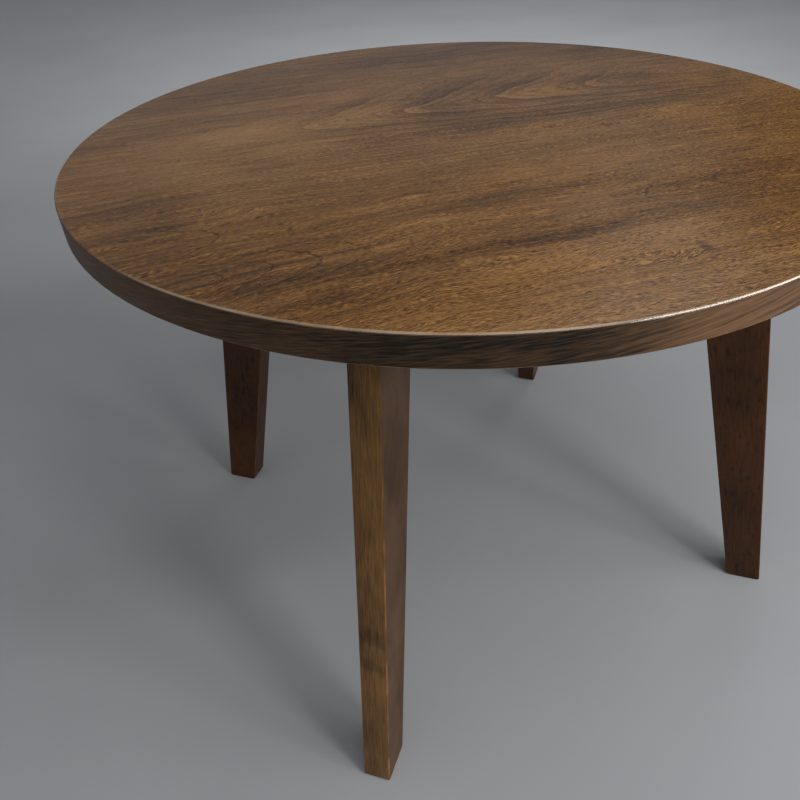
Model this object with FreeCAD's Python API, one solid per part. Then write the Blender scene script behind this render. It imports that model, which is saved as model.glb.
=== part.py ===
import FreeCAD, Part
import os

# Round cocktail table: a veneered top on four splayed plank legs, carried by two half-lapped rails.
# The origin is on the floor under the middle of the top, +Z is up, and one leg stands on each half
# of the X and Y axes. Sizes are in millimetres, angles in degrees.

# Driving dimensions of the whole table
table_height = 437.0
top_diameter = 610.0

# Driving dimensions of the top, which is veneered on both sides of a core of glued staves
face_veneer_thickness = 0.8
crossband_thickness = 1.6
core_thickness = 15.8
backing_veneer_thickness = 0.8
edge_band_width = 6.0
upper_edge_chamfer = 1.1
lower_edge_chamfer = 0.6
glue_line = 0.1
stave_count = 8
grain_angle = 36.0

# Driving dimensions of the legs, whose feet stand plumb under the rim of the top
leg_thickness = 22.2
leg_top_width = 59.3
leg_foot_width = 32.0
leg_inset = 71.6
foot_corner_radius = 3.0
leg_arris_chamfer = 1.0

# Driving dimensions of the rails and their half lap
rail_thickness = 19.0
rail_depth = 45.0
lap_clearance = 0.1

# Driving dimensions of the dowels between rails and legs
dowel_diameter = 9.5
dowel_length = 48.0
dowel_edge_distance = 11.0
dowel_clearance = 0.05
dowel_end_gap = 1.0

# Driving dimensions of the wood screws that hold the top
screw_diameter = 4.2
screw_length = 38.0
screw_head_diameter = 8.0
screw_head_height = 2.8
screw_clearance = 0.1
screw_tip_gap = 0.5
counterbore_clearance = 1.2
core_above_screw = 4.0
screw_from_leg = 55.0

# Heights and radii that follow from the driving dimensions
top_thickness = face_veneer_thickness + 2 * crossband_thickness + core_thickness + backing_veneer_thickness
underside = table_height - top_thickness
backing_top = underside + backing_veneer_thickness
core_bottom = backing_top + crossband_thickness
core_top = core_bottom + core_thickness
face_bottom = core_top + crossband_thickness
top_radius = top_diameter / 2
core_radius = top_radius - edge_band_width - glue_line
leg_outer_top = top_radius - leg_inset
leg_inner_top = leg_outer_top - leg_top_width
foot_outer = top_radius
foot_inner = foot_outer - leg_foot_width
rail_bottom = underside - rail_depth
lap_height = underside - rail_depth / 2
dowel_heights = [underside - dowel_edge_distance, rail_bottom + dowel_edge_distance]
screw_tip = core_top - core_above_screw
screw_seat = screw_tip - screw_length
screw_distance = leg_inner_top - screw_from_leg

# Directions and the leeway for picking edges by their place
Vector = FreeCAD.Vector
origin = Vector(0, 0, 0)
up = Vector(0, 0, 1)
outwards = Vector(1, 0, 0)
arm_angles = {"right": 0, "back": 90, "left": 180, "front": 270}
rail_ends = [0, 180]
leeway = 0.01


def about_axis(solid, degrees):
    """A copy of a solid, turned about the table's upright axis."""
    return solid.rotated(origin, up, degrees)


def disc(radius, low, high):
    """A round plate about the table's axis, between two heights."""
    return Part.makeCylinder(radius, high - low, Vector(0, 0, low), up)


def board(outline, thickness):
    """A plank: an outline in the X-Z plane, thickened equally to both sides of it."""
    corners = [Vector(x, -thickness / 2, z) for x, z in outline]
    face = Part.Face(Part.makePolygon(corners + corners[:1]))
    return face.extrude(Vector(0, thickness, 0))


def turned(outline):
    """A solid of revolution about the table's axis, from an outline of radii and heights."""
    corners = [Vector(radius, 0, height) for radius, height in outline]
    face = Part.Face(Part.makePolygon(corners + corners[:1]))
    return face.revolve(origin, up, 360)


def leg_inner_radius(height):
    """How far the leg's slanted inner face stands from the table's axis at a height."""
    return foot_inner + (leg_inner_top - foot_inner) * height / underside


# Dowels: two across each slanted shoulder, half in the rail and half in the leg
def dowel_bores():
    radius = dowel_diameter / 2 + dowel_clearance
    length = dowel_length + 2 * dowel_end_gap
    starts = [Vector(leg_inner_radius(height) - length / 2, 0, height) for height in dowel_heights]
    return [Part.makeCylinder(radius, length, start, outwards) for start in starts]


def dowel(height):
    start = Vector(leg_inner_radius(height) - dowel_length / 2, 0, height)
    return Part.makeCylinder(dowel_diameter / 2, dowel_length, start, outwards)


# Screws: one in each arm, up through a counterbore in the rail, through the backing and into the core
def screw_bore():
    shank = disc(screw_diameter / 2 + screw_clearance, screw_seat, screw_tip + screw_tip_gap)
    counterbore = disc((screw_head_diameter + counterbore_clearance) / 2, rail_bottom, screw_seat)
    return shank.fuse(counterbore).translated(Vector(screw_distance, 0, 0))


def screw():
    shank = disc(screw_diameter / 2, screw_seat, screw_tip)
    head = disc(screw_head_diameter / 2, screw_seat - screw_head_height, screw_seat)
    return shank.fuse(head).translated(Vector(screw_distance, 0, 0))


def screw_bores(angles):
    return [about_axis(screw_bore(), angle) for angle in angles]


# Legs: tapered planks that lean outwards, with level-cut tops and feet
def leg():
    plank = board([
        (leg_inner_top, underside),
        (leg_outer_top, underside),
        (foot_outer, 0),
        (foot_inner, 0),
    ], leg_thickness)
    foot_ends = [
        edge for edge in plank.Edges
        if edge.BoundBox.ZMax < leeway and edge.BoundBox.YLength > leeway
    ]
    plank = plank.makeFillet(foot_corner_radius, foot_ends)
    arrises = [
        edge for edge in plank.Edges
        if edge.BoundBox.YLength < leeway and edge.BoundBox.ZMin < underside - leeway
    ]
    plank = plank.makeChamfer(leg_arris_chamfer, arrises)
    return plank.cut(dowel_bores())


# Rails: one from leg to opposite leg each way, halved into each other where they cross
def rail(notch_low, notch_high):
    low_end = leg_inner_radius(rail_bottom)
    plank = board([
        (-leg_inner_top, underside),
        (leg_inner_top, underside),
        (low_end, rail_bottom),
        (-low_end, rail_bottom),
    ], rail_thickness)
    notch_width = rail_thickness + 2 * lap_clearance
    notch_corner = Vector(-notch_width / 2, -rail_thickness / 2, notch_low)
    notch = Part.makeBox(notch_width, rail_thickness, notch_high - notch_low, notch_corner)
    dowelling = [about_axis(bore, angle) for angle in rail_ends for bore in dowel_bores()]
    return plank.cut([notch] + dowelling + screw_bores(rail_ends))


# Top: every layer is cut from one round blank, whose rim has a chamfer above and a smaller one below
def top_blank():
    return turned([
        (0, underside),
        (top_radius - lower_edge_chamfer, underside),
        (top_radius, underside + lower_edge_chamfer),
        (top_radius, table_height - upper_edge_chamfer),
        (top_radius - upper_edge_chamfer, table_height),
        (0, table_height),
    ])


def veneer(low, high):
    return top_blank().common(disc(top_radius, low, high))


def half_disc_tool(side):
    """A block that covers one side of the grain direction: -1 towards the front, 1 towards the back."""
    corner = Vector(-top_diameter, min(side, 0) * top_diameter, 0)
    block = Part.makeBox(2 * top_diameter, top_diameter, table_height, corner)
    return about_axis(block, grain_angle)


def edge_band(side):
    hollow = disc(top_radius - edge_band_width, backing_top, face_bottom)
    ring = veneer(backing_top, face_bottom).cut(hollow)
    return ring.common(half_disc_tool(side))


def core_stave(index):
    width = 2 * core_radius / stave_count
    corner = Vector(-core_radius, index * width - core_radius, core_bottom)
    strip = Part.makeBox(2 * core_radius, width, core_thickness, corner)
    stave = about_axis(strip, grain_angle).common(disc(core_radius, core_bottom, core_top))
    return stave.cut(screw_bores(arm_angles.values()))


# The table, piece by piece
pieces = {}
pieces["face_veneer"] = veneer(face_bottom, table_height)
pieces["upper_crossband"] = disc(core_radius, core_top, face_bottom)
for index in range(stave_count):
    pieces[f"core_stave_{index + 1}"] = core_stave(index)
lower_crossband = disc(core_radius, backing_top, core_bottom)
pieces["lower_crossband"] = lower_crossband.cut(screw_bores(arm_angles.values()))
pieces["backing_veneer"] = veneer(underside, backing_top).cut(screw_bores(arm_angles.values()))
pieces["edge_band_front"] = edge_band(-1)
pieces["edge_band_back"] = edge_band(1)
pieces["cross_rail_x"] = rail(lap_height, underside)
pieces["cross_rail_y"] = about_axis(rail(rail_bottom, lap_height), arm_angles["back"])
for place, angle in arm_angles.items():
    pieces[f"leg_{place}"] = about_axis(leg(), angle)
pieces["leg_dowels"] = Part.makeCompound([
    about_axis(dowel(height), angle) for angle in arm_angles.values() for height in dowel_heights
])
pieces["rail_screws"] = Part.makeCompound([about_axis(screw(), angle) for angle in arm_angles.values()])

os.makedirs("parts", exist_ok=True)
for name, piece in pieces.items():
    piece.exportStep(f"parts/{name}.step")
    print(name, len(piece.Solids), "solids", round(piece.Volume / 1000, 2), "cm3", piece.isValid())
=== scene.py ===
# %% [markdown]
# # A round cocktail table
# The table is a thin round top, veneered with one sheet of figured wood, on four splayed plank legs.
# Its exact solids come from a CAD model, which is loaded as a fixed frame. This lesson gives the
# solids that show their eased edges and their wood, and then lights them. Blender works in metres;
# the patterns in the wood are worked out in millimetres, as a cabinet maker would measure them.

# %% Load the frame
import math

import bmesh
import bpy
from mathutils import Matrix, Vector


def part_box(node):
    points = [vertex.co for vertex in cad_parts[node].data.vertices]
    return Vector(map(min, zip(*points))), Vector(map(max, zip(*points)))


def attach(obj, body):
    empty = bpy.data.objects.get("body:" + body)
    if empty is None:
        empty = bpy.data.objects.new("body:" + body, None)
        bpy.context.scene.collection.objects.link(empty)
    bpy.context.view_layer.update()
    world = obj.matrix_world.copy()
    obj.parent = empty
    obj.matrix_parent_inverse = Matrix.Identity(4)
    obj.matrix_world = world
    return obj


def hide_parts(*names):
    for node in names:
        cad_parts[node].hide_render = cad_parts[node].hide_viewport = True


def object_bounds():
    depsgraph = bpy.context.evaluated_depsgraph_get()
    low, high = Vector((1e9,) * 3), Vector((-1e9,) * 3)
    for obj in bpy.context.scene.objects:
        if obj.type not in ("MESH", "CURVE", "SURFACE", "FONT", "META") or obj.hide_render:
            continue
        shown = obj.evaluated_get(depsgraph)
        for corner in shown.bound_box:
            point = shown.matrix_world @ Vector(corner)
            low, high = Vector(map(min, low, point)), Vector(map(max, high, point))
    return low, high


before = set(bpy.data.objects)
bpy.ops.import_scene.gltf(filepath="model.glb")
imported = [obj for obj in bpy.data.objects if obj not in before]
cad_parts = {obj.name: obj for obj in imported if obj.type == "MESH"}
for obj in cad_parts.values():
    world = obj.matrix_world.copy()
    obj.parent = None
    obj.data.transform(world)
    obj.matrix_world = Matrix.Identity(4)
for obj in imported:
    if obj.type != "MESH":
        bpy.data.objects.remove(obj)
cad_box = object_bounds()
scene = bpy.context.scene
print("CAD nodes loaded:", len(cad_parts))
print("CAD box in metres:", [tuple(round(x, 4) for x in corner) for corner in cad_box])

# %% [markdown]
# ## Camera
# The photograph looks down on the table from a little above it, close up, so the near leg looms.
# The rim's ellipse and the legs' corners fix the camera, and its lens shift is there because the
# picture was cropped off-centre. A matrix of three turns is clearer than Euler angles: first the
# roll, then the tip down from level, then the turn about the upright axis.

# %% Place the camera
camera_place = Vector((0.1640, -0.5802, 0.6259))
camera_turn = math.radians(17.22)
camera_tip = math.radians(90 - 36.013)
camera_roll = math.radians(-1.519)

camera_data = bpy.data.cameras.new("photo_camera")
camera_data.sensor_width = 36
camera_data.lens = 33.98
camera_data.shift_x = -0.0725
camera_data.shift_y = -0.0221
camera = bpy.data.objects.new("photo_camera", camera_data)
camera.matrix_world = (
    Matrix.Translation(camera_place)
    @ Matrix.Rotation(camera_turn, 4, "Z")
    @ Matrix.Rotation(camera_tip, 4, "X")
    @ Matrix.Rotation(camera_roll, 4, "Z")
)
scene.collection.objects.link(camera)
scene.camera = camera
top_middle = Vector((0, 0, cad_box[1].z))
print("camera", round((camera_place - top_middle).length, 3), "m from the middle of the top")

# %% [markdown]
# ## Helpers for every finish
# Colours are written as sRGB hex, the way a colour picker shows them, and shaders want them linear.
# One function adds any node: its inputs come in order, or by name from a dict, and each is a plain
# value or another node to link. The Mix node keeps its colour sockets behind numbers, so these get
# names.

# %% Colour and node helpers
MIX_FACTOR, MIX_A, MIX_B, MIX_RESULT = 0, 6, 7, 2
SMOOTH = "SMOOTHSTEP"


def linear(hex_colour):
    """An sRGB hex colour as linear RGBA."""
    channels = [int(hex_colour[i:i + 2], 16) / 255 for i in (0, 2, 4)]
    curve = [c / 12.92 if c <= 0.04045 else ((c + 0.055) / 1.055) ** 2.4 for c in channels]
    return (*curve, 1.0)


def add(tree, kind, inputs=(), **settings):
    """Adds a shader node with its settings, and sets or links its inputs. A node gives its first output."""
    made = tree.nodes.new("ShaderNode" + kind)
    for name, value in settings.items():
        setattr(made, name, value)
    for key, value in inputs.items() if isinstance(inputs, dict) else enumerate(inputs):
        if isinstance(value, bpy.types.Node):
            value = value.outputs[0]
        if isinstance(value, bpy.types.NodeSocket):
            tree.links.new(value, made.inputs[key])
        else:
            made.inputs[key].default_value = value
    return made


def start_finish(name):
    """A new material, its node tree and its shader."""
    material = bpy.data.materials.new(name)
    material.use_nodes = True
    return material, material.node_tree, material.node_tree.nodes["Principled BSDF"]


print("mid grey is", round(linear("808080")[0], 4), "in linear light")

# %% [markdown]
# ## Floor
# The table stands on a plain studio floor of painted board, smooth and matt. One flat sheet is
# enough, because the camera looks down and never sees its edge. A faint mottle keeps the floor from
# looking like empty space, and lets soft shadows sit on something.

# %% Make the floor
floor_reach = 12.0
bm = bmesh.new()
bmesh.ops.create_grid(bm, x_segments=8, y_segments=8, size=floor_reach)
floor_mesh = bpy.data.meshes.new("studio_floor")
bm.to_mesh(floor_mesh)
bm.free()
floor = bpy.data.objects.new("studio_floor", floor_mesh)
scene.collection.objects.link(floor)

floor_paint, tree, shader = start_finish("matt_painted_board")
place = add(tree, "TexCoord").outputs["Object"]
mottle = add(tree, "TexNoise", {"Vector": place, "Scale": 3.0, "Detail": 3.0})
shade = add(tree, "Mix", {MIX_FACTOR: mottle, MIX_A: linear("a8aaad"), MIX_B: linear("b8babd")},
            data_type="RGBA")
tree.links.new(shade.outputs[MIX_RESULT], shader.inputs["Base Color"])
shader.inputs["Roughness"].default_value = 0.7
shader.inputs["Specular IOR Level"].default_value = 0.25
floor_mesh.materials.append(floor_paint)
print("floor reaches", floor_reach, "m each way")

# %% [markdown]
# ## Light
# The photograph's shadows run to the left and back and have soft edges, so the main light is a
# softbox at the right, a little in front, and a wide one overhead fills in. A low pane at the right
# lights the sides of the legs. The long strip above it is seen in the planed edge of the rim, where it
# draws a bright line. A panel behind the table gives the sheen on the near right of the lacquer, and
# one that faces away from the table lifts the far floor. Area lights make all this, because their size
# alone sets how soft a shadow is.

# %% Place the softboxes
def softbox(name, place, aim, size, power, colour):
    """A square area light of this width and power, facing a point."""
    lamp = bpy.data.lights.new(name, "AREA")
    lamp.shape = "SQUARE"
    lamp.size = size
    lamp.energy = power
    lamp.color = linear(colour)[:3]
    holder = bpy.data.objects.new(name, lamp)
    holder.location = place
    holder.rotation_euler = (Vector(aim) - Vector(place)).to_track_quat("-Z", "Y").to_euler()
    holder.visible_camera = False
    scene.collection.objects.link(holder)
    return holder


softbox("main_softbox", (1.32, -0.78, 1.05), (0, -0.05, 0.25), 0.34, 6.6, "fffefc")
softbox("overhead_softbox", (0.45, -0.35, 1.60), (0, 0, 0.3), 1.0, 3.6, "ffffff")
softbox("low_pane", (1.70, -0.40, 0.80), (0.05, -0.28, 0.15), 0.30, 3.4, "ffffff")
rim_strip = softbox("rim_strip", (1.62, -0.13, 1.58), (0.20, -0.23, 0.43), 1.5, 8.0, "ffffff")
rim_strip.data.shape = "RECTANGLE"
rim_strip.data.size_y = 0.12
rim_strip.rotation_euler.rotate_axis("Z", math.radians(-35.0))
softbox("sheen_softbox", (0.22, 1.20, 1.55), (0.19, -0.20, 0.437), 0.40, 1.4, "f6faff")
softbox("backdrop_softbox", (-0.30, 1.30, 1.60), (-0.60, 3.8, 0.0), 1.0, 24, "ffffff")

# %% [markdown]
# ## Room
# Lacquer that is seen at a low angle mirrors what stands behind it, so the room matters as much as the
# lamps. It is brightest above the camera and dark behind the table, which keeps the near wood warm. A
# pale wall stands low at the back left, and its reflection is why the far left of the top looks greyer.
# The denoiser's own smoothing of its guide pictures is turned off, because it would smear the grain.

# %% Shade the room
bright_side = Vector((0.30, -0.58, 0.76)).normalized()
wall_side = Vector((-0.56, 0.83, 0.0)).normalized()
world = bpy.data.worlds.new("studio_room")
world.use_nodes = True
tree = world.node_tree
direction = add(tree, "TexCoord").outputs["Generated"]
to_bright = add(tree, "VectorMath", (direction, tuple(bright_side)), operation="DOT_PRODUCT").outputs["Value"]
rise = add(tree, "MapRange", (to_bright, -0.2, 1.0, 0, 1))
room = add(tree, "Mix", {MIX_FACTOR: rise, MIX_A: linear("363634"), MIX_B: linear("d6d8da")},
           data_type="RGBA").outputs[MIX_RESULT]
to_wall = add(tree, "VectorMath", (direction, tuple(wall_side)), operation="DOT_PRODUCT").outputs["Value"]
leftward = add(tree, "MapRange", (to_wall, 0.70, 0.95, 0, 1), interpolation_type=SMOOTH)
height = add(tree, "SeparateXYZ", (direction,)).outputs["Z"]
low = add(tree, "MapRange", (height, 0.20, 0.48, 1, 0), interpolation_type=SMOOTH)
wall = add(tree, "Math", (leftward, low), operation="MULTIPLY")
room = add(tree, "Mix", {MIX_FACTOR: wall, MIX_A: room, MIX_B: linear("c6cad0")},
           data_type="RGBA").outputs[MIX_RESULT]
tree.links.new(room, tree.nodes["Background"].inputs["Color"])
tree.nodes["Background"].inputs["Strength"].default_value = 0.60
scene.world = world
scene.cycles.denoising_prefilter = "NONE"
scene.view_settings.view_transform = "Standard"
print(world.name, "has", len(tree.nodes), "nodes")

# %% [markdown]
# ## From a bmesh to a piece
# Every new piece ends the same way. Its faces are smoothed, except over corners that were left sharp,
# and a Weighted Normal modifier keeps the wide faces flat while the light still rolls over the eased
# edges. It rides on the table's one body, stands for a CAD node, and takes its finish.

# %% Piece helpers
sharp_angle = math.radians(35)


def to_piece(name, bm, finish, node):
    """Makes a finished object from a bmesh, standing for a CAD node."""
    for face in bm.faces:
        face.smooth = True
    for edge in bm.edges:
        edge.smooth = edge.calc_face_angle(0) < sharp_angle
    mesh = bpy.data.meshes.new(name)
    bm.to_mesh(mesh)
    bm.free()
    mesh.materials.append(finish)
    piece = bpy.data.objects.new(name, mesh)
    scene.collection.objects.link(piece)
    flat = piece.modifiers.new("keep_wide_faces_flat", "WEIGHTED_NORMAL")
    flat.keep_sharp = True
    flat.weight = 100
    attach(piece, "root")
    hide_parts(node)
    print(name, "has", len(mesh.polygons), "faces")


def ease(bm, edges, width, segments):
    """Rounds edges over, and returns the new faces."""
    return bmesh.ops.bevel(bm, geom=edges, offset=width, offset_type="OFFSET", affect="EDGES",
                           segments=segments, profile=0.5, material=-1)["faces"]


print("corners stay sharp from", round(math.degrees(sharp_angle)), "degrees")

# %% [markdown]
# ## Patterns in wood
# Wood is many patterns of different sizes on top of each other. Most of them are noises, and a noise
# becomes wood when its cells are drawn out along the grain, so each is given by the length and width of
# one cell in millimetres, its detail and its roughness. Shifting them apart keeps them from lying on
# each other. Other patterns belong to one place, and fade with the distance from the middle of an oval.

# %% Pattern helpers
MM_PER_M = 1000
NO_SHIFT = NO_TURN = (0, 0, 0)


def cells(along, across):
    """Mapping scale that makes one cell of noise this many millimetres long in X and wide in Y and Z."""
    return (1 / along, 1 / across, 1 / across)


def wood_noises(tree, place, sizes, apart):
    """Noises by name, each from its cell's length and width, its detail and its roughness."""
    made = {}
    for number, (name, (length, width, detail, rough)) in enumerate(sizes.items()):
        shift = tuple(step * number for step in apart)
        cell = add(tree, "Mapping", (place, shift, NO_TURN, cells(length, width)))
        inputs = {"Vector": cell, "Scale": 1.0, "Detail": detail, "Roughness": rough}
        made[name] = add(tree, "TexNoise", inputs)
    return made


def from_oval(tree, place, u, v, length, width):
    """Distance from an oval's middle, 1 on the oval itself. Its length and width are half axes."""
    near = add(tree, "Mapping", (place, (-u / length, -v / width, 0), NO_TURN, cells(length, width)))
    return add(tree, "VectorMath", (near,), operation="LENGTH").outputs["Value"]


print("a cell of 40 by 2 mm has the scale", cells(40, 2))

# %% [markdown]
# ## Figured veneer: the sheet
# The top is faced with one sheet of sliced hardwood, stained a mid walnut brown and sprayed with
# satin lacquer. Its grain runs slantwise across the table, so the finish first turns Object
# coordinates to the sheet's own directions, along the grain and across it, in millimetres. The slow
# noises come first: they sway the grain, which also bows a little towards the front, and the fine ones
# then follow the swayed grain. Pores are at most a quarter of a millimetre wide on the real sheet, and
# are drawn coarser so that they show.

# %% Directions of the sheet
face_finish, tree, shader = start_finish("satin_lacquered_walnut_stained_veneer")
grain_degrees = 36
grain_angle = math.radians(grain_degrees)
place = add(tree, "TexCoord").outputs["Object"]
sheet = add(tree, "Mapping", (place, NO_SHIFT, (0, 0, -grain_angle), (MM_PER_M, MM_PER_M, 0)))
split = add(tree, "SeparateXYZ", (sheet,))
along, across = split.outputs["X"], split.outputs["Y"]
print("grain runs at", grain_degrees, "degrees to the X axis")

# %% Slow noises of the sheet
slow_noises = {
    "sway": (330, 150, 2, 0.5),
    "ripple": (70, 26, 3, 0.5),
    "swell": (120, 45, 3, 0.5),
    "cloud": (150, 60, 4, 0.6),
    "curl_spots": (60, 34, 2, 0.5),
    "gloss": (25, 12, 3, 0.5),
    "rub": (30, 30, 3, 0.5),
}
noise = wood_noises(tree, sheet, slow_noises, (7.3, 3.1, 0))
print(len(slow_noises), "slow noises, up to", slow_noises["sway"][0], "mm")

# %% Swayed grain
bow_middle = 60.0
bow_at_front = 0.00025
sway = add(tree, "MapRange", (noise["sway"], 0, 1, -22, 22))
ripple = add(tree, "MapRange", (noise["ripple"], 0, 1, -10, 10))
from_bow = add(tree, "Math", (along, bow_middle), operation="SUBTRACT")
bow = add(tree, "Math", (from_bow, from_bow), operation="MULTIPLY")
towards_front = add(tree, "MapRange", (across, 20, -120, 0, bow_at_front))
bowed = add(tree, "Math", (bow, towards_front, across), operation="MULTIPLY_ADD")
drift = add(tree, "Math", (sway, ripple), operation="ADD")
swayed = add(tree, "Math", (bowed, drift), operation="ADD")
grain = add(tree, "CombineXYZ", (along, swayed))
print("the grain bows about", bow_middle, "mm along the sheet")

# %% Fine noises of the sheet
fine_noises = {
    "streak": (230, 6, 4, 0.65),
    "fibre": (85, 2.4, 5, 0.7),
    "dash": (20, 0.6, 3, 0.6),
    "speck": (3.8, 0.42, 1, 0.5),
    "pore": (6, 0.8, 1, 0.5),
    "tooth": (8, 4, 2, 0.5),
    "curl": (58, 20, 4, 0.6),
}
noise.update(wood_noises(tree, grain, fine_noises, (4.7, 9.1, 0)))
print(len(fine_noises), "fine noises, down to", fine_noises["speck"][1], "mm")

# %% [markdown]
# ## Figured veneer: the cathedral
# A knife that slices through a leaning trunk meets the growth rings at a shallow angle, so they open
# into nested V shapes. Each ring is a line with its tip on one axis and two arms: the far arm is
# straight, and the near arm bends along the grain like a parabola. Reckoned along the axis, a ring's
# late wood darkens slowly, stops dead, and a pale line of new growth follows. Wide rings come with fine
# ones between them, and the figure is boldest in the middle and fades towards the rim.

# %% Axis and arms of the cathedral
axis_offset = 69.0
axis_slant = 0.08
far_arm_slope = 1.6
near_arm_blunt = 15
tooth = add(tree, "MapRange", (noise["tooth"], 0, 1, -4, 4))
wavy = add(tree, "Math", (across, ripple), operation="ADD")
axis = add(tree, "Math", (along, axis_slant, axis_offset), operation="MULTIPLY_ADD")
off_axis = add(tree, "Math", (wavy, axis), operation="SUBTRACT")
ring = add(tree, "MapRange", (noise["swell"], 0, 1, -26, 26))
ring = add(tree, "Math", (ring, tooth), operation="ADD")
ring = add(tree, "Math", (ring, along), operation="ADD")
far_side = add(tree, "Math", (off_axis, 0.0), operation="MAXIMUM")
ring = add(tree, "Math", (far_side, -far_arm_slope, ring), operation="MULTIPLY_ADD")
near_side = add(tree, "Math", (off_axis, 0.0), operation="MINIMUM")
square = add(tree, "Math", (near_side, near_side), operation="MULTIPLY")
ring = add(tree, "Math", (square, -1 / near_arm_blunt, ring), operation="MULTIPLY_ADD")
print("the axis lies", axis_offset, "mm behind the middle of the sheet")

# %% Rings of the cathedral
first_tip = -117.0
tip_spacing = 85.5
figure_oval = (55, 52, 205, 85)
ring_sets = ((1, 0.9), (4, 0.65), (11, 0.5))
from_tip = add(tree, "Math", (ring, first_tip), operation="SUBTRACT")
far = from_oval(tree, sheet, *figure_oval)
bold = add(tree, "MapRange", (far, 0.4, 1.25, 1.0, 0.1), interpolation_type=SMOOTH)
dark_rings = pale_rings = None
for fineness, strength in ring_sets:
    age = add(tree, "Math", (from_tip, fineness / tip_spacing), operation="MULTIPLY")
    season = add(tree, "Math", (age,), operation="FRACT")
    late = add(tree, "MapRange", (season, 0.35, 0.95, 0, strength), interpolation_type=SMOOTH)
    ended = add(tree, "MapRange", (season, 0.95, 1.0, 1, 0), interpolation_type=SMOOTH)
    new = add(tree, "MapRange", (season, 0.0, 0.14, strength, 0), interpolation_type=SMOOTH)
    shown_late = add(tree, "Math", (late, ended), operation="MULTIPLY")
    dark_rings = add(tree, "Math", (shown_late, bold, dark_rings or 0.0), operation="MULTIPLY_ADD")
    pale_rings = add(tree, "Math", (new, bold, pale_rings or 0.0), operation="MULTIPLY_ADD")
print("ring tips every", tip_spacing, "mm along the grain")

# %% [markdown]
# ## Figured veneer: the small peaks
# Nearer the front are three faint nests of thin brown lines, like the ends of tongues. They are rings
# again, each nest on an axis of its own, and two of them point at each other. Only the line at the end
# of a year shows, about a millimetre wide, and only near the tips. A triangle wave gives the distance
# to the nearest line, and dividing by its steepness keeps the line equally wide along the arms. A nest
# is given by its tip, the way it points, its lines' spacing and bluntness, and the oval where it shows.

# %% Lines of the small peaks
nest_slant = 0.1
nests = (
    (-156, -181, 1, 27, 14, (-165, -182, 90, 34)),
    (54, -173, -1, 56, 9, (100, -171, 85, 26)),
    (-207, -131, 1, 300, 18, (-216, -130, 34, 26)),
)
peak_lines = None
for tip_u, tip_v, way, spacing, blunt, oval in nests:
    past_tip = add(tree, "Math", (along, tip_u), operation="SUBTRACT")
    axis = add(tree, "Math", (past_tip, nest_slant, tip_v), operation="MULTIPLY_ADD")
    off_axis = add(tree, "Math", (wavy, axis), operation="SUBTRACT")
    square = add(tree, "Math", (off_axis, off_axis), operation="MULTIPLY")
    outward = add(tree, "Math", (past_tip, way, tooth), operation="MULTIPLY_ADD")
    ring = add(tree, "Math", (square, 1 / blunt, outward), operation="MULTIPLY_ADD")
    off_line = add(tree, "Math", (ring, spacing / 2), operation="PINGPONG")
    slope = add(tree, "Math", (off_axis, 2 / blunt), operation="MULTIPLY")
    climb = add(tree, "CombineXYZ", (slope, 1.0))
    steep = add(tree, "VectorMath", (climb,), operation="LENGTH").outputs["Value"]
    gap = add(tree, "Math", (off_line, steep), operation="DIVIDE")
    line = add(tree, "MapRange", (gap, 0.15, 0.8, 1, 0), interpolation_type=SMOOTH)
    far = from_oval(tree, sheet, *oval)
    nest = add(tree, "MapRange", (far, 0.4, 1.1, 1, 0), interpolation_type=SMOOTH)
    peak_lines = add(tree, "Math", (line, nest, peak_lines or 0.0), operation="MULTIPLY_ADD")
print(len(nests), "nests of thin lines")

# %% [markdown]
# ## Figured veneer: streaks and clouds
# Bundles of dark streaks run along the sheet in front of the cathedral, and the stain took unevenly: it
# left darker clouds near the left rim and the far side, pale ones round the cathedral, and golden ones
# near the front and the right. Each cloud is a soft oval along the grain, given by its middle, its half
# length and half width, and how much deeper and how much warmer it is. The clouds are broken up by the
# fibres, because stain follows them. The smallest ovals are a knot and flecks.

# %% Clouds of stain
clouds = (
    (-205, -185, 105, 50, 0.30, 0), (-255, -100, 50, 75, 0.26, 0), (-190, 160, 110, 50, 0.16, 0),
    (40, 240, 220, 48, 0.33, 0), (235, 180, 85, 75, 0.24, 0), (290, -10, 40, 40, -0.12, 0.3),
    (110, 6, 170, 18, 0.20, 0), (-60, -140, 120, 10, 0.34, 0), (-60, -205, 160, 11, 0.30, 0.4),
    (30, -198, 90, 11, 0.12, 0.3), (85, -172, 60, 30, 0.26, 0.3), (225, -85, 100, 100, 0.04, 1.2),
    (145, -195, 75, 70, 0.16, 1.4), (-165, 128, 150, 13, -0.22, 0), (-140, 50, 120, 50, -0.30, 0),
    (-225, -5, 60, 36, -0.20, 0), (-130, 4, 50, 22, -0.24, 0.2), (-48, 15, 30, 16, -0.20, 0.2),
    (178, -30, 40, 22, -0.34, 0.3), (-48, 66, 38, 28, -0.40, 0), (50, 68, 45, 24, -0.34, 0.3),
    (60, -25, 60, 32, -0.24, 0.3), (118, 72, 50, 25, -0.42, 0.5), (230, 52, 36, 24, -0.30, 0.8),
    (20, -105, 80, 22, -0.18, 0.3), (-45, -234, 60, 20, -0.26, 0.4), (40, -226, 36, 26, -0.26, 0),
    (-60, -258, 150, 26, 0.0, 0.6), (-165, -235, 60, 20, 0.12, 0.5), (98, -250, 50, 40, 0.0, 0.6),
    (-80, -140, 220, 80, 0.0, 0.5), (47, -249, 4, 7, 0.55, 0), (7, -253, 3, 2, -0.8, 0),
    (-85, -118, 8, 3, -0.5, 0.2),
)
tone = warmth = None
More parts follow.
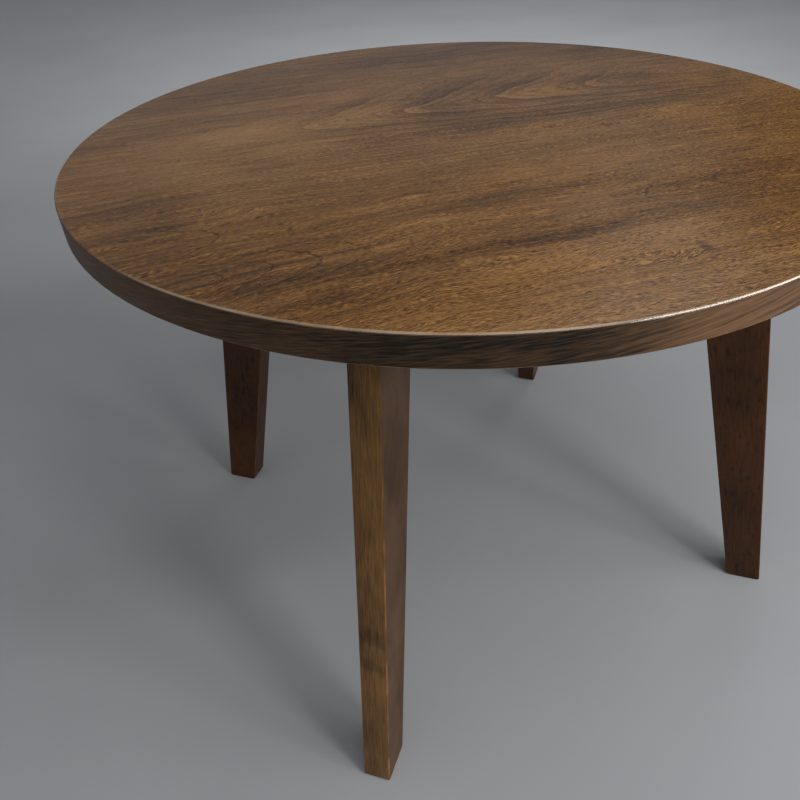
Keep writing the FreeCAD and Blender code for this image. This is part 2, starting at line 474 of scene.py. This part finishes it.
for *oval, deeper, warmer in clouds:
    far = from_oval(tree, sheet, *oval)
    cloud = add(tree, "MapRange", (far, 0.15, 1.35, 1, 0), interpolation_type=SMOOTH)
    tone = add(tree, "Math", (cloud, deeper, tone or 0.0), operation="MULTIPLY_ADD")
    if warmer:
        warmth = add(tree, "Math", (cloud, warmer, warmth or 0.0), operation="MULTIPLY_ADD")
broken = add(tree, "MapRange", (noise["streak"], 0.35, 0.65, 0.45, 1.15))
cloud_noise = add(tree, "MapRange", (noise["cloud"], 0.3, 0.7, -0.14, 0.14))
tone = add(tree, "Math", (tone, broken, cloud_noise), operation="MULTIPLY_ADD")
print(len(clouds), "clouds of stain")

# %% [markdown]
# ## Figured veneer: fibre, pores and curls
# Close up, the sheet is covered with long streaks, fibres, and fine dashes and specks where the knife
# opened the pores. They are crispest towards the front and the right, where the lacquer has worn thin.
# In the middle there are short jagged curls, pale with a dark edge, where the fibres dive under the
# surface. A curl is a step in a noise: the same value is cut into levels, and only the edge of each
# level shows.

# %% Fibres, dashes, specks and pores
rightward_share = 0.5
streak = add(tree, "MapRange", (noise["streak"], 0.3, 0.7, -0.14, 0.14))
fibre = add(tree, "MapRange", (noise["fibre"], 0.25, 0.75, -0.25, 0.25))
dash = add(tree, "MapRange", (noise["dash"], 0.25, 0.75, -0.26, 0.26))
speck = add(tree, "MapRange", (noise["speck"], 0.25, 0.75, -0.30, 0.30))
to_right = add(tree, "Math", (along, rightward_share), operation="MULTIPLY")
to_front = add(tree, "Math", (to_right, across), operation="SUBTRACT")
crisp = add(tree, "MapRange", (to_front, -250, 150, 0.40, 2.0))
dash = add(tree, "Math", (dash, crisp), operation="MULTIPLY")
speck = add(tree, "Math", (speck, crisp), operation="MULTIPLY")
pore = add(tree, "MapRange", (noise["pore"], 0.58, 0.70, 0, 1), interpolation_type=SMOOTH)
print("dashes", fine_noises["dash"][0], "mm long and specks", fine_noises["speck"][0], "mm long")

# %% Curls
curl_levels = 7.0
levels = add(tree, "Math", (noise["curl"], curl_levels), operation="MULTIPLY")
step = add(tree, "Math", (levels,), operation="FRACT")
spots = add(tree, "MapRange", (noise["curl_spots"], 0.54, 0.66, 0, 1), interpolation_type=SMOOTH)
nearer = add(tree, "MapRange", (across, 12, -25, 0, 1), interpolation_type=SMOOTH)
where = add(tree, "Math", (spots, nearer), operation="MULTIPLY")
pale_edge = add(tree, "MapRange", (step, 0.0, 0.10, 1, 0), interpolation_type=SMOOTH)
dark_edge = add(tree, "MapRange", (step, 0.88, 1.0, 0, 1), interpolation_type=SMOOTH)
pale_curls = add(tree, "Math", (pale_edge, where), operation="MULTIPLY")
dark_curls = add(tree, "Math", (dark_edge, where), operation="MULTIPLY")
print("curls on", round(curl_levels), "levels")

# %% [markdown]
# ## Figured veneer: colour and gloss
# All the patterns add up to one number, how deep the stain lies, and that runs from golden brown
# through walnut to near black. Warmth is a tint that is multiplied in, because a warmer stain only takes
# light away. The planed edge of the sheet is rubbed pale and shinier, and its pale colour is partly a
# painted highlight, strongest on the right. Satin lacquer fills the pores only partly, so the pores dull
# the gloss and leave a slight relief.

# %% Colour of the veneer
usual_depth = 0.43
golden_share = 0.6
layers = (
    (streak, 1.0), (fibre, 1.0), (dash, 1.0), (speck, 1.0), (pore, 0.12),
    (dark_rings, 0.34), (pale_rings, -0.06), (peak_lines, 0.46), (dark_curls, 0.40), (pale_curls, -0.45),
)
browns = ((0.0, 0.45, "82592d"), (0.40, 0.85, "55381c"), (0.80, 1.25, "332010"))
depth = add(tree, "Math", (tone, usual_depth), operation="ADD")
for layer, weight in layers:
    depth = add(tree, "Math", (layer, weight, depth), operation="MULTIPLY_ADD")
colour = linear("ab8150")
for low, high, brown in browns:
    deeper = add(tree, "MapRange", (depth, low, high, 0, 1))
    colour = add(tree, "Mix", {MIX_FACTOR: deeper, MIX_A: colour, MIX_B: linear(brown)},
                 data_type="RGBA").outputs[MIX_RESULT]
golden = add(tree, "Math", (warmth, golden_share), operation="MULTIPLY")
colour = add(tree, "Mix", {MIX_FACTOR: golden, MIX_A: colour, MIX_B: linear("fff0a0")},
             data_type="RGBA", blend_type="MULTIPLY").outputs[MIX_RESULT]
# Pale on the planed edge: partly rubbing, partly a painted highlight, strongest on the right.
paled_edge = add(tree, "Attribute", attribute_name="paled_edge").outputs["Fac"]
patchy = add(tree, "MapRange", (noise["rub"], 0.3, 0.6, 0.4, 0.8))
paled_share = add(tree, "Math", (paled_edge, patchy), operation="MULTIPLY")
colour = add(tree, "Mix", {MIX_FACTOR: paled_share, MIX_A: colour, MIX_B: linear("b29c86")}, data_type="RGBA")
tree.links.new(colour.outputs[MIX_RESULT], shader.inputs["Base Color"])
print(len(layers), "patterns set the depth of the stain")

# %% Gloss and relief of the veneer
satin = add(tree, "MapRange", (noise["gloss"], 0.3, 0.7, 0.29, 0.36))
dulled = add(tree, "Math", (pore, 0.1, satin), operation="MULTIPLY_ADD")
polished = add(tree, "Math", (paled_edge, -0.30, dulled), operation="MULTIPLY_ADD")
tree.links.new(polished.outputs[0], shader.inputs["Roughness"])
relief = add(tree, "Math", (noise["speck"], pore), operation="SUBTRACT")
filled = add(tree, "MapRange", (paled_edge, 0, 1, 0.25, 0.02))
bump = add(tree, "Bump", {"Height": relief, "Strength": filled, "Distance": 0.0003})
tree.links.new(bump.outputs[0], shader.inputs["Normal"])
shader.inputs["Specular IOR Level"].default_value = 0.42
print(face_finish.name, "has", len(tree.nodes), "nodes")

# %% [markdown]
# ## The veneered top face
# The face sheet is a disc less than a millimetre thick. Its edge slopes, because the top's upper
# arris was taken off with a pass of a block plane after the sheet was glued down. A circle is
# extruded, its upper loop is scaled in, and the arris that is left is rounded over. The planed edge is
# painted pale, least on the left: partly where hands have rubbed it, and partly a painted highlight
# where the lamps at the right fall on it. Each vertex there keeps how pale it is.

# %% Sizes, wear and painted highlight of the rim
leeway = 1e-5
chamfer = 0.0011
rim_steps = 240
face_low, face_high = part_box("face_veneer")
face_bottom = face_low.z
table_height = face_high.z
top_radius = cad_box[1].x - leeway
face_radius = top_radius - chamfer
sheet_radius = face_radius + table_height - face_bottom
# The planed edge is painted pale by rubbing and by a painted highlight that rises from left to right.
least_rubbed_and_lit = 0.25
rubbed_and_lit_from = -0.18
rubbed_and_lit_rise = 0.10


def rubbed_and_lit(v):
    """Rubbing and painted highlight at a rim vertex: least on the left, most from the front to the right."""
    return min(1.0, max(least_rubbed_and_lit, (v.co.x - rubbed_and_lit_from) / rubbed_and_lit_rise))


print("top", round(2 * top_radius, 3), "m across, with a face", round(2 * face_radius, 4), "m across")

# %% Make the face sheet
face_arris = 0.0003
bm = bmesh.new()
bmesh.ops.create_circle(bm, cap_ends=True, radius=sheet_radius, segments=rim_steps,
                        matrix=Matrix.Translation((0, 0, face_bottom)))
raised = bmesh.ops.extrude_face_region(bm, geom=bm.faces[:])["geom"]
upper = [v for v in raised if isinstance(v, bmesh.types.BMVert)]
shrink = face_radius / sheet_radius
bmesh.ops.scale(bm, verts=upper, vec=(shrink, shrink, 1))
bmesh.ops.translate(bm, verts=upper, vec=(0, 0, table_height - face_bottom))
bmesh.ops.recalc_face_normals(bm, faces=bm.faces)
ease(bm, [e for e in bm.edges if all(v.co.z > table_height - leeway for v in e.verts)], face_arris, 3)
paled_edge = bm.verts.layers.float.new("paled_edge")
for v in bm.verts:
    v[paled_edge] = rubbed_and_lit(v) if v.co.xy.length > face_radius - face_arris + leeway else 0.0
to_piece("face_sheet", bm, face_finish, "face_veneer")

# %% [markdown]
# ## Edge band: the wood
# The rim is a solid strip of the same stained wood, bent round the core in two halves. Its grain runs
# along the strip, so the pattern follows the strip and not the room: each vertex keeps how far round,
# how far out and how high it is, in millimetres, and the finish reads that instead of Object
# coordinates. The strip is darker than the face, darkest in the middle of each half, with long, slightly
# slanting streaks of stain. The dark middle is a painted shade, where the front of the rim faces away
# from the lamps, and the paler ends are painted light, where the lamps fall on the rim, most on the
# right. The planed edge above is rubbed pale, and partly carries a painted highlight.

# %% Streaks of the edge band
edge_finish, tree, shader = start_finish("satin_lacquered_walnut_stained_edge_strip")
streak_slant = math.radians(7)
strip = add(tree, "Attribute", attribute_name="strip").outputs["Vector"]
slanted = add(tree, "Mapping", (strip, NO_SHIFT, (0, streak_slant, 0), (1, 1, 1)))
strip_noises = {
    "streak": (45, 1.3, 4, 0.5),
    "cloud": (95, 30, 2, 0.5),
    "fibre": (13, 0.9, 3, 0.5),
    "rub": (25, 25, 3, 0.5),
}
noise = wood_noises(tree, slanted, strip_noises, (5.0, 3.0, 2.0))
round_rim = add(tree, "SeparateXYZ", (strip,)).outputs["X"]
# Painted shade and light: each half is painted darkest in its middle, where the rim faces away from the
# lamps, and paler towards its ends, most at its far end, which on the front half lies on the right.
painted_shade_and_light_end = add(tree, "MapRange", (round_rim, 415, 520, 0.66, -0.38), interpolation_type=SMOOTH)
painted_light_start = add(tree, "MapRange", (round_rim, 150, 340, -0.36, 0.0), interpolation_type=SMOOTH)
bold = add(tree, "MapRange", (round_rim, 420, 520, 0.22, 1.05), interpolation_type=SMOOTH)
streak = add(tree, "MapRange", (noise["streak"], 0.3, 0.7, 0, 1))
cloud = add(tree, "MapRange", (noise["cloud"], 0.3, 0.7, 0.0, 0.2))
fibre = add(tree, "MapRange", (noise["fibre"], 0.3, 0.7, -0.2, 0.2))
depth = add(tree, "Math", (streak, bold, painted_shade_and_light_end), operation="MULTIPLY_ADD")
for layer in (painted_light_start, cloud, fibre):
    depth = add(tree, "Math", (depth, layer), operation="ADD")
print("streaks", strip_noises["streak"][0], "mm long on the strip")

# %% Colour and gloss of the edge band
stained = add(tree, "Mix", {MIX_FACTOR: depth, MIX_A: linear("7f5c3e"), MIX_B: linear("17130b")},
              data_type="RGBA").outputs[MIX_RESULT]
# Pale on the band's planed edge: partly rubbing, partly a painted highlight, strongest on the right.
paled_edge = add(tree, "Attribute", attribute_name="paled_edge").outputs["Fac"]
patchy = add(tree, "MapRange", (noise["rub"], 0.3, 0.6, 0.1, 0.4))
paled_share = add(tree, "Math", (paled_edge, patchy), operation="MULTIPLY")
colour = add(tree, "Mix", {MIX_FACTOR: paled_share, MIX_A: stained, MIX_B: linear("8a786a")}, data_type="RGBA")
tree.links.new(colour.outputs[MIX_RESULT], shader.inputs["Base Color"])
satin = add(tree, "MapRange", (noise["cloud"], 0.3, 0.7, 0.36, 0.46))
polished = add(tree, "Math", (paled_edge, -0.28, satin), operation="MULTIPLY_ADD")
tree.links.new(polished.outputs[0], shader.inputs["Roughness"])
filled = add(tree, "MapRange", (paled_edge, 0, 1, 0.2, 0.02))
bump = add(tree, "Bump", {"Height": noise["fibre"], "Strength": filled, "Distance": 0.0003})
tree.links.new(bump.outputs[0], shader.inputs["Normal"])
shader.inputs["Specular IOR Level"].default_value = 0.25
print(edge_finish.name, "has", len(tree.nodes), "nodes")

# %% [markdown]
# ## Edge band: the shape
# The strip's section has five corners. It is drawn once, at the joint between the halves, and spun
# half a turn, which also closes both ends. Then its one sharp outer arris is rounded over.

# %% Make the two halves of the edge band
band_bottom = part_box("edge_band_front")[0].z
band_width = 0.006
band_arris = 0.0003


def edge_band(name, node, start_angle):
    """Makes one half of the band, from a start angle half a turn round."""
    bm = bmesh.new()
    section = [
        (top_radius - band_width, band_bottom),
        (top_radius, band_bottom),
        (top_radius, table_height - chamfer),
        (sheet_radius, face_bottom),
        (top_radius - band_width, face_bottom),
    ]
    bm.faces.new([bm.verts.new((radius, 0, height)) for radius, height in section])
    bmesh.ops.rotate(bm, verts=bm.verts, matrix=Matrix.Rotation(start_angle, 3, "Z"))
    bmesh.ops.spin(bm, geom=bm.faces[:], cent=(0, 0, 0), axis=(0, 0, 1), angle=math.pi, steps=rim_steps // 2)
    bmesh.ops.recalc_face_normals(bm, faces=bm.faces)
    outer = [e for e in bm.edges if all(v.co.xy.length > top_radius - leeway for v in e.verts)]
    arris = [e for e in outer if all(v.co.z > table_height - chamfer - leeway for v in e.verts)]
    ease(bm, arris, band_arris, 3)
    paled_edge = bm.verts.layers.float.new("paled_edge")
    strip = bm.verts.layers.float_vector.new("strip")
    for v in bm.verts:
        v[paled_edge] = rubbed_and_lit(v) if v.co.z > table_height - chamfer - band_arris + leeway else 0.0
        turned = math.remainder(math.atan2(v.co.y, v.co.x) - start_angle - math.pi / 2, 2 * math.pi)
        v[strip] = Vector(((turned + math.pi / 2) * top_radius, v.co.xy.length, v.co.z)) * MM_PER_M
    to_piece(name, bm, edge_finish, node)


edge_band("rim_band_front", "edge_band_front", grain_angle + math.pi)
edge_band("rim_band_back", "edge_band_back", grain_angle)

# %% [markdown]
# ## Plank legs: the wood
# The legs are sawn from solid planks of a plain, close-grained hardwood and stained dark. Their wide
# faces took the stain deeply and are a dull red-brown with dark flecks. The outer edges are golden, with
# a few slanting bands of curl, and one half of each is painted paler, a painted highlight along that
# arris. The inner edges are painted as dark as the wide faces, a painted shade where they stand in the
# shade of the table. The arrises are rubbed pale, and the front leg is handled most, so it is rubbed
# most; its wide faces are painted paler, a painted light where the lamps at the right fall on them. The
# wood is solid, so its pattern runs through it: each vertex keeps its place in the plank before the leg
# is turned to its side of the table.

# %% Depth of the stain in the legs
plank_finish, tree, shader = start_finish("satin_lacquered_walnut_stained_plank")
plank = add(tree, "Attribute", attribute_name="plank").outputs["Vector"]
plank_noises = {
    "cloud": (75, 34, 3, 0.5),
    "fleck": (10, 4, 3, 0.5),
    "fibre": (26, 1.0, 4, 0.5),
    "pore": (6, 0.75, 1, 0.5),
    "rub": (22, 20, 4, 0.5),
}
noise = wood_noises(tree, plank, plank_noises, (5.0, 3.0, 2.0))
cloud = add(tree, "MapRange", (noise["cloud"], 0.3, 0.7, 0.10, 0.60))
fleck = add(tree, "MapRange", (noise["fleck"], 0.56, 0.70, 0, 1), interpolation_type=SMOOTH)
fibre = add(tree, "MapRange", (noise["fibre"], 0.3, 0.7, -0.26, 0.26))
pore = add(tree, "MapRange", (noise["pore"], 0.58, 0.70, 0, 1), interpolation_type=SMOOTH)
depth = add(tree, "Math", (cloud, fibre), operation="ADD")
depth = add(tree, "Math", (pore, 0.15, depth), operation="MULTIPLY_ADD")
wide_depth = add(tree, "Math", (fleck, 0.38, depth), operation="MULTIPLY_ADD")
print(len(noise), "noises in the plank")

# %% Bands of curl on the legs' outer edges
curl_slant = 0.3
curl_bands = ((2256, 11), (2226, 8))
split = add(tree, "SeparateXYZ", (plank,))
wobble = add(tree, "MapRange", (noise["fleck"], 0, 1, -6, 6))
slant = add(tree, "Math", (split.outputs["Y"], curl_slant, split.outputs["X"]), operation="MULTIPLY_ADD")
slant = add(tree, "Math", (slant, wobble), operation="ADD")
curl = None
for middle, half in curl_bands:
    off_middle = add(tree, "Math", (slant, middle), operation="SUBTRACT")
    off_middle = add(tree, "Math", (off_middle,), operation="ABSOLUTE")
    band = add(tree, "MapRange", (off_middle, half * 0.4, half, 1, 0), interpolation_type=SMOOTH)
    curl = add(tree, "Math", (band, curl or 0.0), operation="ADD")
narrow_depth = add(tree, "Math", (curl, 0.22, depth), operation="MULTIPLY_ADD")
print(len(curl_bands), "bands of curl")

# %% Colour and gloss of the legs
wide = add(tree, "Mix", {MIX_FACTOR: wide_depth, MIX_A: linear("553013"), MIX_B: linear("190d05")},
           data_type="RGBA")
narrow = add(tree, "Mix", {MIX_FACTOR: narrow_depth, MIX_A: linear("916a3c"), MIX_B: linear("2d1c0f")},
             data_type="RGBA")
edge_face = add(tree, "Attribute", attribute_name="edge_face").outputs["Fac"]
stained = add(tree, "Mix", {MIX_FACTOR: edge_face, MIX_A: wide.outputs[MIX_RESULT],
                            MIX_B: narrow.outputs[MIX_RESULT]}, data_type="RGBA").outputs[MIX_RESULT]
paled_edge = add(tree, "Attribute", attribute_name="paled_edge").outputs["Fac"]
patchy = add(tree, "MapRange", (noise["rub"], 0.4, 0.62, 0.2, 1.0))
paled_share = add(tree, "Math", (paled_edge, patchy), operation="MULTIPLY")
colour = add(tree, "Mix", {MIX_FACTOR: paled_share, MIX_A: stained, MIX_B: linear("c08c50")}, data_type="RGBA")
tree.links.new(colour.outputs[MIX_RESULT], shader.inputs["Base Color"])
satin = add(tree, "MapRange", (noise["cloud"], 0.3, 0.7, 0.36, 0.46))
tree.links.new(satin.outputs[0], shader.inputs["Roughness"])
relief = add(tree, "Math", (noise["fibre"], pore), operation="SUBTRACT")
bump = add(tree, "Bump", {"Height": relief, "Strength": 0.12, "Distance": 0.0002})
tree.links.new(bump.outputs[0], shader.inputs["Normal"])
shader.inputs["Specular IOR Level"].default_value = 0.24
print(plank_finish.name, "has", len(tree.nodes), "nodes")

# %% [markdown]
# ## Plank legs: the shape
# Each leg is a tapered plank that leans out, so that its foot stands under the rim, and both ends are
# cut level. Its outline is four corners: an extrusion makes the plank, one bevel rounds the foot's
# ends, and a second eases the long arrises. The plank's own directions run up its middle line, and an
# offcut moves each leg to another stretch of the same wood, so that no two legs look alike.

# %% Sizes of a leg
leg_low, leg_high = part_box("leg_right")
underside = leg_high.z
leg_thickness = leg_high.y - leg_low.y
leg_inner_top = leg_low.x
leg_top_width = 0.0593
leg_foot_width = 0.032
foot_corner = 0.003
leg_arris = 0.001
outer_edge_half = leg_thickness / 2 - leg_arris * 0.7
foot_middle = Vector((top_radius - leg_foot_width / 2, 0, 0))
shoulder_middle = Vector((leg_inner_top + leg_top_width / 2, 0, underside))
lean = shoulder_middle - foot_middle
plank_turn = Matrix.Rotation(math.atan2(lean.z, lean.x), 3, "Y")
print("legs lean", round(math.degrees(math.atan2(-lean.x, lean.z)), 1), "degrees")

# %% Shape and wear of a leg
# One half of each outer edge is painted less golden, so the other half carries a painted highlight along its
# arris.
side_without_painted_highlight = 0.7


def tapered_plank():
    """A leg in the X-Z plane as a bmesh, and the set of its arrises' rounded faces."""
    bm = bmesh.new()
    outline = [
        (leg_inner_top, underside),
        (leg_inner_top + leg_top_width, underside),
        (top_radius, 0),
        (top_radius - leg_foot_width, 0),
    ]
    bm.faces.new([bm.verts.new((x, -leg_thickness / 2, z)) for x, z in outline])
    pulled = bmesh.ops.extrude_face_region(bm, geom=bm.faces[:])["geom"]
    far_side = [v for v in pulled if isinstance(v, bmesh.types.BMVert)]
    bmesh.ops.translate(bm, verts=far_side, vec=(0, leg_thickness, 0))
    bmesh.ops.recalc_face_normals(bm, faces=bm.faces)
    crosswise = [e for e in bm.edges if abs(e.verts[0].co.y - e.verts[1].co.y) > leeway]
    ease(bm, [e for e in crosswise if all(v.co.z < leeway for v in e.verts)], foot_corner, 6)
    lengthwise = [e for e in bm.edges if abs(e.verts[0].co.y - e.verts[1].co.y) < leeway]
    below_top = [e for e in lengthwise if any(v.co.z < underside - leeway for v in e.verts)]
    return bm, set(ease(bm, below_top, leg_arris, 3))


def plank_leg(name, node, turn, offcut, rubbing, painted_light_on_wide_faces):
    """Makes a leg, turned to its side of the table, with rubbed arrises and painted light on its wide faces.
    """
    bm, rounded = tapered_plank()
    paled_edge = bm.verts.layers.float.new("paled_edge")
    edge_face = bm.verts.layers.float.new("edge_face")
    place = bm.verts.layers.float_vector.new("plank")
    for v in bm.verts:
        in_plank = plank_turn @ (v.co - foot_middle) * MM_PER_M
        outer = in_plank.z < 0
        eased = all(face in rounded for face in v.link_faces)
        v[paled_edge] = rubbing if eased and (outer or v.co.z < foot_corner) else 0.0
        # Only the outer edges are golden; the inner edges stand in shade and keep the dark wide colour, a
        # painted shade.
        narrow = outer and abs(v.co.y) < outer_edge_half
        v[edge_face] = (1.0 if v.co.y > 0 else side_without_painted_highlight) if narrow else painted_light_on_wide_faces
        v[place] = in_plank + Vector(offcut)
    bmesh.ops.rotate(bm, verts=bm.verts, matrix=Matrix.Rotation(math.radians(turn), 3, "Z"))
    to_piece(name, bm, plank_finish, node)


plank_leg("plank_leg_right", "leg_right", turn=0, offcut=(0, 0, 0), rubbing=0.25, painted_light_on_wide_faces=0.0)
plank_leg("plank_leg_back", "leg_back", turn=90, offcut=(700, 25, 6), rubbing=0.5, painted_light_on_wide_faces=0.0)
plank_leg("plank_leg_left", "leg_left", turn=180, offcut=(1400, -30, -4), rubbing=0.4, painted_light_on_wide_faces=0.0)
# The front leg's wide faces get painted light, paler where the lamps at the right fall on them.
plank_leg("plank_leg_front", "leg_front", turn=270, offcut=(2100, 12, 9), rubbing=0.9, painted_light_on_wide_faces=0.27)

# %% [markdown]
# ## Rails, backing and core
# Under the top, two rails cross in a half lap and carry the legs, and the layers of the top show only
# where they are cut. Their CAD shapes are already right, so only their wood is added, straight-grained
# and plain, because nobody spends good figure where it can't be seen.

# %% Plain wood finish
def plain_wood(name, pale, dark, ring_mm, turn, roughness):
    """Straight-grained wood on Object coordinates, its grain turned about the upright axis."""
    material, tree, shader = start_finish(name)
    place = add(tree, "TexCoord").outputs["Object"]
    to_board = (MM_PER_M, MM_PER_M, MM_PER_M)
    board = add(tree, "Mapping", (place, NO_SHIFT, (0, 0, math.radians(-turn)), to_board))
    board_noises = {"ring": (220, ring_mm, 4, 0.5), "fibre": (40, 1.2, 3, 0.5)}
    noise = wood_noises(tree, board, board_noises, NO_SHIFT)
    grain = add(tree, "Math", (noise["ring"], noise["fibre"]), operation="ADD")
    shade = add(tree, "MapRange", (grain, 0.7, 1.3, 0, 1), interpolation_type=SMOOTH)
    colour = add(tree, "Mix", {MIX_FACTOR: shade, MIX_A: linear(pale), MIX_B: linear(dark)}, data_type="RGBA")
    tree.links.new(colour.outputs[MIX_RESULT], shader.inputs["Base Color"])
    dull = add(tree, "MapRange", (noise["fibre"], 0.3, 0.7, roughness - 0.06, roughness + 0.06))
    tree.links.new(dull.outputs[0], shader.inputs["Roughness"])
    bump = add(tree, "Bump", {"Height": noise["fibre"], "Strength": 0.15, "Distance": 0.0003})
    tree.links.new(bump.outputs[0], shader.inputs["Normal"])
    return material


core_wood = plain_wood("sawn_core_stave", "c9ab80", "a8875c", 6.0, grain_degrees, 0.75)
crossband = plain_wood("peeled_crossband", "c2a47c", "a58660", 9.0, grain_degrees + 90, 0.7)
finishes = {
    "cross_rail_x": plain_wood("planed_stained_rail", "7a5a40", "3e2b1f", 4.0, 0, 0.6),
    "cross_rail_y": plain_wood("planed_stained_cross_rail", "7a5a40", "3e2b1f", 4.0, 90, 0.6),
    "backing_veneer": plain_wood("sealed_backing_veneer", "8a6a4b", "5a4230", 7.0, grain_degrees, 0.55),
    "upper_crossband": crossband,
    "lower_crossband": crossband,
    "leg_dowels": plain_wood("turned_beech_dowel", "d0b08a", "b08c64", 2.0, 0, 0.6),
}
for name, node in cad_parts.items():
    finish = core_wood if name.startswith("core_stave") else finishes.get(name)
    if finish:
        for holder in node.material_slots:
            holder.material = finish
print("plain woods:", sorted({f.name for f in finishes.values()} | {core_wood.name}))

# %% [markdown]
# ## Screws
# One wood screw in each arm holds the top down, sunk in a bore from below. Their heads are steel,
# turned and slotted, and the lathe's fine marks leave the gloss uneven. The CAD screws have plain heads,
# which are right in size, so here they get a slot: two cuts across the head, and the strip between them
# is pushed in.

# %% Steel finish
lathe_marks_per_m = (2500, 2500, 300)
screw_steel, tree, shader = start_finish("turned_bright_steel")
place = add(tree, "TexCoord").outputs["Object"]
turning = add(tree, "Mapping", (place, NO_SHIFT, NO_TURN, lathe_marks_per_m))
scratch = add(tree, "TexNoise", {"Vector": turning, "Scale": 1.0, "Detail": 2.0})
dull = add(tree, "MapRange", (scratch, 0, 1, 0.25, 0.5))
tree.links.new(dull.outputs[0], shader.inputs["Roughness"])
shader.inputs["Base Color"].default_value = linear("b7b5ae")
shader.inputs["Metallic"].default_value = 1.0
print(screw_steel.name, "has", len(tree.nodes), "nodes")

# %% Sizes of a screw
screw_low, screw_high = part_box("rail_screws")
head_radius = 0.004
head_height = 0.0028
shank_radius = 0.0021
slot_half = 0.0006
slot_depth = 0.0012
screw_distance = screw_high.x - head_radius
seat = screw_low.z + head_height
print("screws stand", round(screw_distance, 4), "m from the table's axis")

# %% Make the screws
def slotted_screw(bm, turn):
    """Adds one screw to a bmesh, in the arm that a turn about the table's axis gives."""
    middle = Matrix.Rotation(math.radians(turn), 4, "Z") @ Matrix.Translation((screw_distance, 0, 0))
    one = bmesh.new()
    bmesh.ops.create_cone(one, cap_ends=True, segments=32, radius1=head_radius, radius2=head_radius,
                          depth=head_height, matrix=Matrix.Translation((0, 0, screw_low.z + head_height / 2)))
    for side in (-slot_half, slot_half):
        everything = one.verts[:] + one.edges[:] + one.faces[:]
        bmesh.ops.bisect_plane(one, geom=everything, plane_co=(side, 0, 0), plane_no=(1, 0, 0))
    slot = [f for f in one.faces if f.normal.z < -0.9 and abs(f.calc_center_median().x) < slot_half / 2]
    bmesh.ops.inset_region(one, faces=slot, thickness=0.0, depth=-slot_depth)
    shank_middle = Matrix.Translation((0, 0, (seat + screw_high.z) / 2))
    bmesh.ops.create_cone(one, cap_ends=True, segments=24, radius1=shank_radius, radius2=shank_radius,
                          depth=screw_high.z - seat, matrix=shank_middle)
    slot_turn = turn * 0.7 + 25
    driven = Matrix.Rotation(math.radians(slot_turn), 4, "Z")
    bmesh.ops.transform(one, matrix=middle @ driven, verts=one.verts)
    mesh = bpy.data.meshes.new("one_screw")
    one.to_mesh(mesh)
    one.free()
    bm.from_mesh(mesh)
    bpy.data.meshes.remove(mesh)


bm = bmesh.new()
for turn in (0, 90, 180, 270):
    slotted_screw(bm, turn)
to_piece("slotted_screws", bm, screw_steel, "rail_screws")
